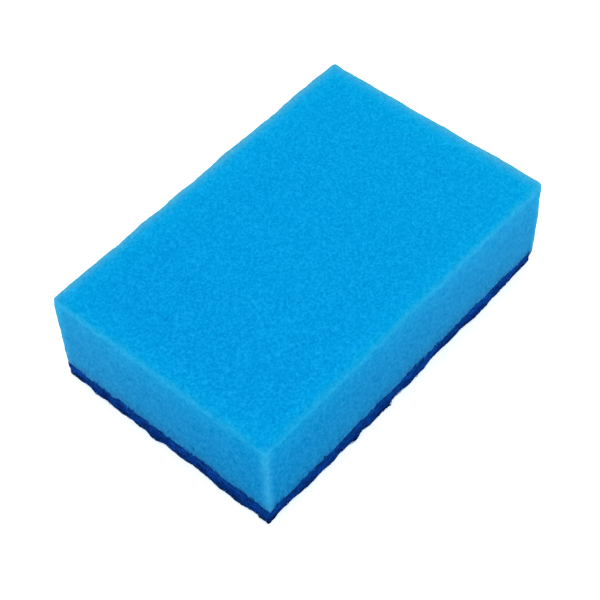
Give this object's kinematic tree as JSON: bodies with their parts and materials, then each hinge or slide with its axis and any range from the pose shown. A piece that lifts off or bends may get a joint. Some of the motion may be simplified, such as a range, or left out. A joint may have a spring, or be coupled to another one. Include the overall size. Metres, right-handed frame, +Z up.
{
  "type": "scouring sponge",
  "caption": "Rectangular two-layer sponge: a thick block of fine open-cell blue foam glued to a thin dark blue non-woven scouring pad.",
  "frame": {"origin": "middle of the scouring pad's underside, which is the bottom centre of the object's box", "axes": "+X along the long side, +Y along the short side, +Z up from the pad to the foam's working face"},
  "size_m": [0.1, 0.065, 0.0295],
  "materials": {
    "foam": "light blue open-cell polyurethane foam, fine pores, matt",
    "adhesive": "thin cured laminating adhesive film",
    "scouring_fibre": "dark navy resin-bonded non-woven fibre, coarse and matt"
  },
  "bodies": {
    "root": {"foam_block": "foam", "bond_layer": "adhesive", "scouring_pad": "scouring_fibre"}
  },
  "joints": []
}
